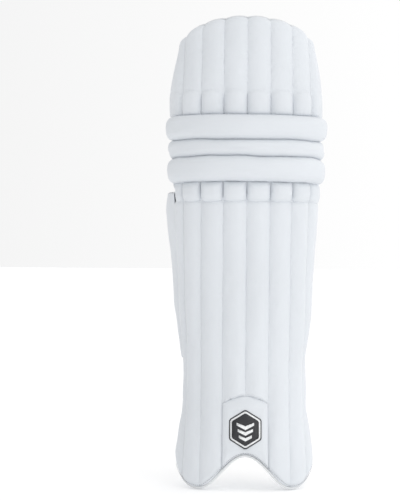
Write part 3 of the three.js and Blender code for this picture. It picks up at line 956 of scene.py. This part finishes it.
def rim_middle(inner, beyond=0.0):
    """The height of the middle of the rim's round edge, at an arc length and a way past the side."""
    seam = 3 * CHANNEL
    span = soft_edges(SHOULDER)[1] + 2 * CREST_TURN + 2 - seam
    extra = np.maximum(np.abs(inner) - seam, 0) + beyond
    place = np.minimum(np.abs(inner), seam) + (RIM_ARC - seam) * extra / span
    return rim_height(np.sign(inner) * place) - TOP_RADIUS


def make_top_binding():
    """The bound seam where the lining meets the facing, along the sides and the crest of the rim."""
    edge = soft_edges(SHOULDER)[1]
    half_turn = math.pi / 2
    low_corner = rim_middle(edge, CREST_TURN * (2 - SIDE_TURN))
    heights = np.linspace(560, low_corner, 40)
    wall_reach, reach = TOP_RADIUS + 2.2, TOP_RADIUS + 0.9
    t = np.linspace(0, 1, 10)[1:]
    s = np.linspace(SIDE_TURN, 0, 14)[1:]
    wall_angle = math.pi - SIDE_TURN * half_turn
    rise_angle = math.pi - np.maximum(s, 1) * half_turn
    halves = []
    for side in (-1.0, 1.0):
        wall = around(side * soft_edges(heights)[1], heights, TOP_RADIUS, wall_reach, wall_angle, 0.0)
        turn = around(side * edge, low_corner, TOP_RADIUS, wall_reach, wall_angle,
                      half_turn * t / (SIDE_TURN + t))
        rise = around(side * edge, rim_middle(edge, CREST_TURN * np.minimum(s, 2 - s)), TOP_RADIUS,
                      reach + (wall_reach - reach) * s / SIDE_TURN, rise_angle, half_turn / (1 + s))
        halves.append(np.concatenate([wall, turn, rise]))
    arc = np.linspace(-edge, edge, 260)[1:-1]
    crest = around(arc, rim_middle(arc), TOP_RADIUS, reach, half_turn, half_turn)
    binding = tube("top_binding", np.concatenate([halves[0], crest, halves[1][::-1]]), 1.3)
    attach(binding, "top")
    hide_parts("top_piping")


def make_top_lining():
    """The printed lining: it covers the rear face and turns out to the crest of the edge."""
    middle_cols, side_cols, flat_rows, rim_rows = 120, 12, 84, 9
    outward = np.linspace(SIDE_TURN, 0, side_cols + 1)[:-1]
    u = np.concatenate([-np.ones(side_cols), np.linspace(-1, 1, middle_cols), np.ones(side_cols)])
    s = np.concatenate([outward, np.zeros(middle_cols), outward[::-1]])
    shoulder_edge = soft_edges(SHOULDER)[1]
    low, high = KNEE_TOP + 3.0, rim_middle(u * shoulder_edge, np.minimum(s, 2 - s) * CREST_TURN)
    v = np.concatenate([np.linspace(0, 1, flat_rows), np.ones(rim_rows)])[:, None]
    t = np.concatenate([np.zeros(flat_rows), np.linspace(0, 1, rim_rows + 1)[1:]])[:, None]
    z = low + v * (high - low)
    right = soft_edges(z)[1]
    inner = u * (right + (shoulder_edge - right) * v ** 2 * (1 - u ** 4))
    rho = np.maximum(s, t) * math.pi / 2
    beta = (math.pi / 2) * t / np.maximum(s + t, 1e-6)
    relief = 0.4 * ripple(inner, z, 40.0, 81)
    for seam in SEAMS:
        relief = relief - 0.9 * np.exp(-((inner - seam) / 2.0) ** 2)
    outside = np.clip(s - 1, 0, 1) / (SIDE_TURN - 1)
    reach = TOP_RADIUS + 1.1 + 1.4 * outside + relief * np.clip(1 - np.maximum(s, t), 0, 1)
    grid = around(inner, z, TOP_RADIUS, reach, math.pi - rho, beta)
    flat = flat_of(inner + np.sign(u) * s * CREST_TURN, z + t * CREST_TURN)
    lining = sheet("top_lining_cover", grid, 0.9, TOP_PRINT, flat, front_is_outside=False)
    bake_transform(lining)
    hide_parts("top_lining")
    depth = -2 * TOP_RADIUS - 1.3
    for number, margin in enumerate((1.5, 4.9)):
        a = np.linspace(margin - shoulder_edge, shoulder_edge - margin, 300)
        path = skin(a, rim_middle(a) - margin, depth - 0.2)
        stitches(f"rim_stitches_{number + 1}", path, "top", radius=0.42)
    for number, seam in enumerate(SEAMS[1:-1]):
        heights = np.linspace(572, rim_middle(seam) - 9, 60)
        if abs(seam) < 1:
            heights = heights[:8]
        path = skin(np.full(len(heights), seam), heights, depth + 0.7)
        stitches(f"top_seam_stitches_{number + 1}", path, "top")


# ---- Wing ----
WING_BOTTOM, WING_TOP = 188.0, 438.0
WING_REACH, WING_FLARE = 38.0, 13.0
WING_ROOT, WING_TAIL = 14, 7


def wing_point(u, z, inward):
    rise = (z - WING_BOTTOM) / (WING_TOP - WING_BOTTOM)
    reach = WING_REACH * (0.16 + 0.84 * rise) * np.minimum(1, 0.7 + 3 * (1 - rise))
    left = edges(z)[0]
    start = skin(left, z, 0.0)
    x = start[..., 0] - WING_FLARE * u * reach / WING_REACH + inward
    return np.stack([x, start[..., 1] + 2.6 + reach * u, z + 0 * u], -1)


def make_wing():
    cols, rows = 48, 120
    u = np.linspace(-0.16, 1, cols)
    z = np.linspace(WING_BOTTOM, WING_TOP, rows)[:, None] + 0 * u
    v = (z - WING_BOTTOM) / (WING_TOP - WING_BOTTOM)
    flat = np.stack([u * WING_REACH + 0 * z, z, 0 * z], -1) / 1000
    across = np.clip(u, 0, 1)
    ends = np.clip(np.minimum(v, 1 - v) * 16, 0, 1) ** 0.6
    puff = (1 - np.abs(2 * across - 1) ** 3) * ends
    soft = 0.7 * ripple(u * WING_REACH, z, 34.0, 91)
    thickness = WING_ROOT + (WING_TAIL - WING_ROOT) * across
    closing = (1 - np.clip((1 - across) / 0.16, 0, 1)) ** 2
    middle = thickness / 2
    outer_depth = 0.2 - 2.0 * puff + soft * 0.5
    inner_depth = thickness - 0.4 + 1.2 * puff + soft * 0.6
    outer = wing_point(u + 0 * z, z, outer_depth + (middle - 0.6 - outer_depth) * closing)
    inner = wing_point(u + 0 * z, z, inner_depth + (middle + 0.6 - inner_depth) * closing)
    facing = sheet("wing_outer", outer, 1.0, LEATHER, flat)
    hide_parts("wing_facing", "wing_foam")
    # The wing's inner face takes the mesh whose grey tint is painted shade.
    lining = sheet("wing_inner", inner, 1.0, SHADE_PAINTED_MESH, flat, front_is_outside=False)
    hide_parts("wing_lining")
    for piece in (facing, lining):
        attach(piece, "wing")
    heights = np.linspace(WING_BOTTOM, WING_TOP, 120)
    tail = wing_point(1.0, heights, 3.5)
    over_top = wing_point(np.linspace(1.0, 0.0, 30), WING_TOP, 3.5 + 3.5 * np.linspace(0, 1, 30))
    binding = tube("wing_binding", np.concatenate([tail, over_top[1:]]), 2.1)
    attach(binding, "wing")
    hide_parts("wing_piping")
    stitches("wing_stitches", wing_point(0.84, heights[4:-4], 6.6 + 0.4), "wing", radius=0.4)


GUSSET_ARC = -121.0


def make_gusset():
    """The thin mesh strip that joins the lining beside the bolster to the inside of the wing."""
    rows = 110
    z = np.linspace(WING_BOTTOM + 1, WING_TOP - 2, rows)[:, None]
    wall = soft_edges(z)[0]
    share = np.linspace(0, 1, 10)[None]
    inside = skin(GUSSET_ARC, z, -lining_depth(GUSSET_ARC, z) - 2.2)
    on_wall = around(wall, z, EDGE_RADIUS, EDGE_RADIUS + 2.8, math.pi * (1 - 0.42 * share), 0.0)
    tail = wing_point(0.14, z, 14.4)
    first = inside + (on_wall[:, :1] - inside) * share[..., None]
    last = on_wall[:, -1:] + (tail - on_wall[:, -1:]) * share[..., None]
    grid = np.concatenate([first[:, :-1], on_wall, last[:, 1:]], 1)
    run = np.arange(grid.shape[1])[None] * 1.5
    grid[..., 0] += 0.3 * ripple(run, z, 24.0, 95)
    place = np.stack(np.broadcast_arrays(run, z, 0.0), -1) / 1000
    # The gusset takes the mesh whose grey tint is painted shade over a white mesh.
    gusset = sheet("wing_gusset", grid[:, ::-1], 0.8, SHADE_PAINTED_MESH, place[:, ::-1], front_is_outside=False)
    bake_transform(gusset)


# ---- Badges ----
def hexagon(scale):
    """The outline of a tall hexagon with softened corners, in badge halves."""
    corners = np.arange(6) * math.pi / 3
    x, y = np.sin(corners), np.cos(corners)
    share = np.linspace(0.06, 0.94, 8)
    ahead = np.roll(np.arange(6), -1)
    across = (x[:, None] * (1 - share) + x[ahead, None] * share).ravel()
    up = (y[:, None] * (1 - share) + y[ahead, None] * share).ravel()
    return across * scale, up * scale


def badge_plate(name, outline, height, half, lift, rise, material, body, replaced=None):
    """A thin raised plate bent to the shell, from an outline in badge halves."""
    across, up = outline
    middle = np.array([across.mean(), up.mean()])
    rings = [(middle[0] + (across - middle[0]) * r, middle[1] + (up - middle[1]) * r)
             for r in (1, 0.7, 0.35)]
    count = len(across)
    layers = []
    for level in (lift + rise, lift):
        for ring_across, ring_up in rings:
            layers.append(skin(ring_across * half[0], height + ring_up * half[1], level))
        layers.append(skin(middle[:1] * half[0], height + middle[1:] * half[1], level))
    points = np.concatenate(layers)
    rear = 3 * count + 1
    faces = []
    for k in range(count):
        m = (k + 1) % count
        for ring in range(2):
            a, b = ring * count, (ring + 1) * count
            faces.append((a + k, a + m, b + m, b + k))
            faces.append((rear + a + m, rear + a + k, rear + b + k, rear + b + m))
        faces.append((2 * count + k, 2 * count + m, 3 * count))
        faces.append((rear + 2 * count + m, rear + 2 * count + k, rear + 3 * count))
        faces.append((m, k, rear + k, rear + m))
    plate = link(name, points, faces, material)
    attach(plate, body)
    if replaced:
        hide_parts(replaced)


def chevron(level, width, thickness):
    """A generic chevron across the badge: a bent bar given by its outline, point down."""
    across = np.linspace(-width, width, 15)
    upper = level + 0.5 * np.abs(across)
    return np.concatenate([across, across[::-1]]), np.concatenate([upper, upper[::-1] - thickness])


def make_badge(name, node, height, half, lift, outward, ring, body):
    layers = ((1.0, BLACK), (0.93, ring), (0.83, BLACK))
    for number, (scale, material) in enumerate(layers):
        badge_plate(f"{name}_layer_{number + 1}", hexagon(scale), height, half,
                    lift + outward * 0.4 * number, outward * 0.6, material, body,
                    node if number == 0 else None)
    for number, level in enumerate((0.12, -0.16, -0.44)):
        badge_plate(f"{name}_chevron_{number + 1}", chevron(level, 0.46 - 0.06 * number, 0.14), height, half,
                    lift + outward * 1.2, outward * 0.6, SILVER, body)


# ---- Straps ----
STRAP_BACK = 2.5
STRAP_WIDTH = {"knee": 34.0, "calf": 62.0, "ankle": 34.0}
SEWN_LINES = {"knee": [(7.0, "root")], "calf": [(11.0, "root")], "ankle": [(6.0, "root"), (113.0, "end")]}


def joint_place(name):
    """Where a joint of the frame is, in millimetres, with its height above the foot."""
    joint = next(j for j in frame["record"]["behaviour"]["joints"] if j["name"] == name)
    return np.array(joint["pos_m"]) * 1000 + np.array([0, 0, BED_HEIGHT])


def make_strap(name, material):
    width = STRAP_WIDTH[name]
    hinge, pivot = joint_place(f"{name}_strap_open"), joint_place(f"{name}_strap_curl")
    root, height = hinge[:2], hinge[2]
    reach = pivot[:2] - root
    half = math.sqrt(reach @ reach - STRAP_BACK ** 2)
    lean = math.atan2(reach[1], reach[0]) - math.atan2(STRAP_BACK, half)
    length = 2 * half
    far = root + length * np.array([math.cos(lean), math.sin(lean)])
    ahead = (far - root) / length
    normal = np.array([-ahead[1], ahead[0]])
    cols, rows = 150, 14
    t = np.linspace(0.0, 1.0, cols)
    v = np.linspace(-0.5, 0.5, rows)[:, None]
    along = 0.6 + t * (length - 0.4)
    wave = 0.35 * ripple(along + 0 * v, v * width, 70.0, 101 + int(height))
    lift = 2.2 + wave - 0.3 * (np.abs(v) * 2) ** 8
    flat_xy = root + along[None, :, None] * ahead + lift[..., None] * normal
    grid = np.concatenate([flat_xy, (height + v * width + 0 * along)[..., None]], -1)
    flat = np.stack([along + 0 * v, (v + 0.5) * width + 0 * along, 0 * along + 0 * v], -1) / 1000
    tape = sheet(f"{name}_strap_tape", grid, 2.0, material, flat, front_is_outside=False)
    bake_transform(tape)
    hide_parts(f"{name}_strap_near", f"{name}_strap_far")
    rise = np.linspace(-width / 2 + 2, width / 2 - 2, 20)[:, None]
    for number, (distance, part) in enumerate(SEWN_LINES[name]):
        foot = root + distance * ahead + STRAP_BACK * normal
        line = np.concatenate([np.repeat(foot[None], 20, 0), height + rise], -1)
        stitches(f"{name}_strap_stitches_{number + 1}", line, f"{name}_strap_{part}", 3.0, 2.2, 0.4)


LEMON = (0.84, 0.81, 0.22, 1)
PALE_LIME = (0.70, 0.88, 0.38, 1)
KNEE_TAPE = webbing("knee_webbing", [(0.0092, 0.0200, DEEP_NAVY), (0.0200, 0.0272, LEMON)])
CALF_TAPE = webbing("calf_webbing", [
    (0.0162, 0.0377, DEEP_NAVY), (0.0380, 0.0435, (0.80, 0.66, 0.10, 1)), (0.0435, 0.0500, PALE_LIME),
])
ANKLE_TAPE = webbing("ankle_webbing", [(0.0087, 0.0191, DEEP_NAVY), (0.0191, 0.0268, LEMON)])
TOP_PRINT = printed_navy("top_print", [
    ((-0.099, 0.656), -1.12, 0.0021, YELLOW), ((0.042, 0.597), 1.2, 0.0013, LIME),
], lambda n, x, z: n.math("LESS_THAN", n.math("ADD", z, n.math("MULTIPLY", x, 1.12)), 0.545))
PANEL_PRINT = printed_navy("panel_print", [
    ((-0.003, 0.444), -0.93, 0.0030, YELLOW), ((0.018, 0.447), -0.92, 0.0009, LIME),
    ((-0.034, 0.300), -1.02, 0.0022, YELLOW), ((-0.034, 0.216), -0.98, 0.0016, LIME),
    ((0.036, 0.204), 0.93, 0.0016, LIME), ((0.036, 0.166), 0.8, 0.0014, YELLOW),
], lambda n, x, z: n.math("MULTIPLY", n.math("GREATER_THAN", n.math("ADD", z, x), 0.183),
                        n.math("LESS_THAN", n.math("ADD", z, n.math("MULTIPLY", x, 1.03)), 0.262)))

make_shin_cover()
make_hem_binding()
make_instep_panel()
make_knuckles()
make_shin_lining()
make_centre_panel()
for side_name, side_arcs in (("left", (-121.5, -47.0)), ("right", (47.0, 121.5))):
    make_bolster(f"shin_cushion_{side_name}", f"shin_bolster_{side_name}", "shin", side_arcs,
                 (160.5, 439.0), 27.0, lambda arc, z: lining_depth(arc, z) + 1.5)
roll_top = wavy(552, 0, 0.3, 47)
upper_seam = wavy(516, 0, 0.8, 48)
lower_seam = wavy(491.5, 5, 0.9, 49)
roll_foot = wavy(454.5, 5, 0.5, 50)
make_roll("roll_upper", "knee_roll_upper", upper_seam, roll_top, 23, 145, 51)
make_roll("roll_middle", "knee_roll_middle", lower_seam, upper_seam, 19, 143, 53)
make_roll("roll_lower", "knee_roll_lower", roll_foot, lower_seam, 22, 144, 55)
make_knee_cover()
make_bolster("knee_cushion", "knee_bolster", "knee", (-133.0, 133.0), (447.0, 566.0), 33.0,
             lambda arc, z: 23.2 + 0 * arc)
make_top_cover()
make_top_lining()
make_top_binding()
make_wing()
make_gusset()
make_badge("front_badge", "instep_badge", 88, (27.0, 29.0), 2.6, 1.0, SILVER, "shin")
make_badge("rear_badge", "top_badge", 633, (31.0, 37.0), -22.2, -1.0, GOLD, "top")
for strap, tape_material in (("knee", KNEE_TAPE), ("calf", CALF_TAPE), ("ankle", ANKLE_TAPE)):
    make_strap(strap, tape_material)


# ---- Nodes that stay as they are ----
def dress(node, material):
    obj = bpy.data.objects.get(node)
    obj.data.materials.clear()
    obj.data.materials.append(material)


for index in range(1, 9):
    dress(f"shin_cane_{index}", CANE)
for node in ("shin_foam", "top_foam"):
    dress(node, FOAM)
for prefix in ("knee", "calf", "ankle"):
    dress(f"{prefix}_strap_tab", BINDING)
    dress(f"{prefix}_hook_patch", HOOKS)
    dress(f"{prefix}_loop_patch", LOOPS)


# ---- Stage, light and camera ----
def make_stage():
    floor_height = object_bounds()[0][2] - 0.001
    half = 30.0
    corners = [(-half, -half), (half, -half), (half, half), (-half, half)]
    mesh = bpy.data.meshes.new("floor")
    mesh.from_pydata([(x, y, floor_height) for x, y in corners], [], [(0, 1, 2, 3)])
    obj = bpy.data.objects.new("floor", mesh)
    bpy.context.scene.collection.objects.link(obj)
    n = Nodes("floor_white")
    mottle = n.noise(n.object_place(), 3.0, 2.0)
    shade = n.mix(n.remap(mottle, 0.3, 0.7), (0.93, 0.93, 0.93, 1), (0.91, 0.91, 0.915, 1))
    n.shader.inputs["Emission Color"].default_value = (1, 1, 1, 1)
    mesh.materials.append(n.finish(shade, 0.9, Emission_Strength=0.16))


def make_world():
    """Soft white surroundings, a little dimmer on the side away from the key."""
    world = bpy.data.worlds.new("studio")
    world.use_nodes = True
    tree = world.node_tree
    background = tree.nodes["Background"]
    place = tree.nodes.new("ShaderNodeTexCoord")
    split = tree.nodes.new("ShaderNodeSeparateXYZ")
    tree.links.new(place.outputs["Generated"], split.inputs[0])

    ramp = tree.nodes.new("ShaderNodeMapRange")
    ramp.interpolation_type = "SMOOTHSTEP"
    for key, number in (("From Min", -1.0), ("From Max", 1.0), ("To Min", 0.70), ("To Max", 1.22)):
        ramp.inputs[key].default_value = number
    tree.links.new(split.outputs["X"], ramp.inputs["Value"])
    background.inputs["Color"].default_value = (1, 1, 1, 1)
    tree.links.new(ramp.outputs["Result"], background.inputs["Strength"])
    bpy.context.scene.world = world


def area_light(name, place, target, size, power):
    light = bpy.data.lights.new(name, "AREA")
    light.shape = "RECTANGLE"
    light.size, light.size_y = size
    light.energy = power
    obj = bpy.data.objects.new(name, light)
    obj.location = place
    obj.rotation_euler = (Vector(target) - Vector(place)).to_track_quat("-Z", "Y").to_euler()
    bpy.context.scene.collection.objects.link(obj)


def make_light_and_camera():
    scene = bpy.context.scene
    make_world()
    scene.view_settings.view_transform = "Standard"
    area_light("key", (1.5, -2.2, 0.8), (0, 0, 0.05), (1.2, 1.6), 5.0)
    area_light("top", (-0.2, -0.6, 2.3), (-0.2, -0.2, -0.3), (2.4, 1.6), 2.0)
    lens_data = bpy.data.cameras.new("camera")
    distance = 2.6
    front_depth = 0.05
    view_height = 0.7385
    lens_data.sensor_fit = "VERTICAL"
    lens_data.sensor_height = 36
    lens_data.lens = 36 * (distance - front_depth) / view_height
    camera = bpy.data.objects.new("camera", lens_data)
    camera.location = (-0.0687, -distance, 0.0515)
    camera.rotation_euler = (math.pi / 2, math.radians(-0.45), 0)
    scene.collection.objects.link(camera)
    scene.camera = camera


make_stage()
make_light_and_camera()
